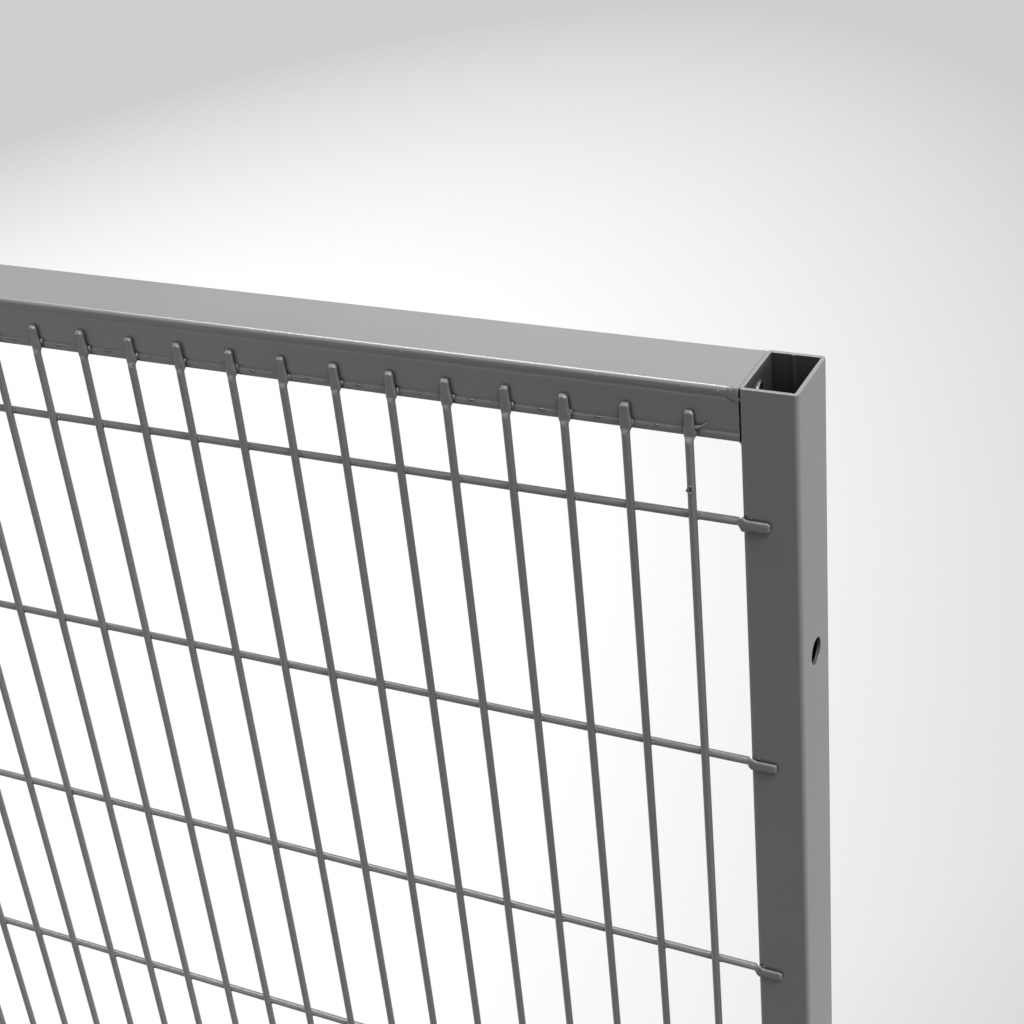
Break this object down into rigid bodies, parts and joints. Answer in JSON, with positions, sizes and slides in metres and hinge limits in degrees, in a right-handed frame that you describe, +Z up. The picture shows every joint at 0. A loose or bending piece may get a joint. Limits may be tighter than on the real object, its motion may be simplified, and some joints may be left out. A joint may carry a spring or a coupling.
{
  "type": "machine guard fence panel",
  "caption": "Welded wire mesh panel in a rectangular tube frame, bolted between posts through its side tubes to fence off a machine.",
  "frame": {"origin": "on the outer side face of the left stile, at the middle of its depth and height, where the panel is bolted flat against a post", "axes": "+X along the panel to the other stile, +Y from the mesh side to the back, +Z up"},
  "size_m": [0.996, 0.0336, 2],
  "materials": {
    "frame_coat": "satin powder coat in mid grey on steel tube",
    "mesh_coat": "satin powder coat in mid grey on welded steel wire",
    "weld_coat": "satin powder coat in mid grey over weld beads"
  },
  "bodies": {
    "root": {"left_stile": "frame_coat", "right_stile": "frame_coat", "top_rail": "frame_coat", "bottom_rail": "frame_coat", "mesh_left": "mesh_coat", "mesh_middle": "mesh_coat", "mesh_right": "mesh_coat", "weld_top_left": "weld_coat", "weld_top_right": "weld_coat", "weld_bottom_left": "weld_coat", "weld_bottom_right": "weld_coat"}
  },
  "joints": []
}
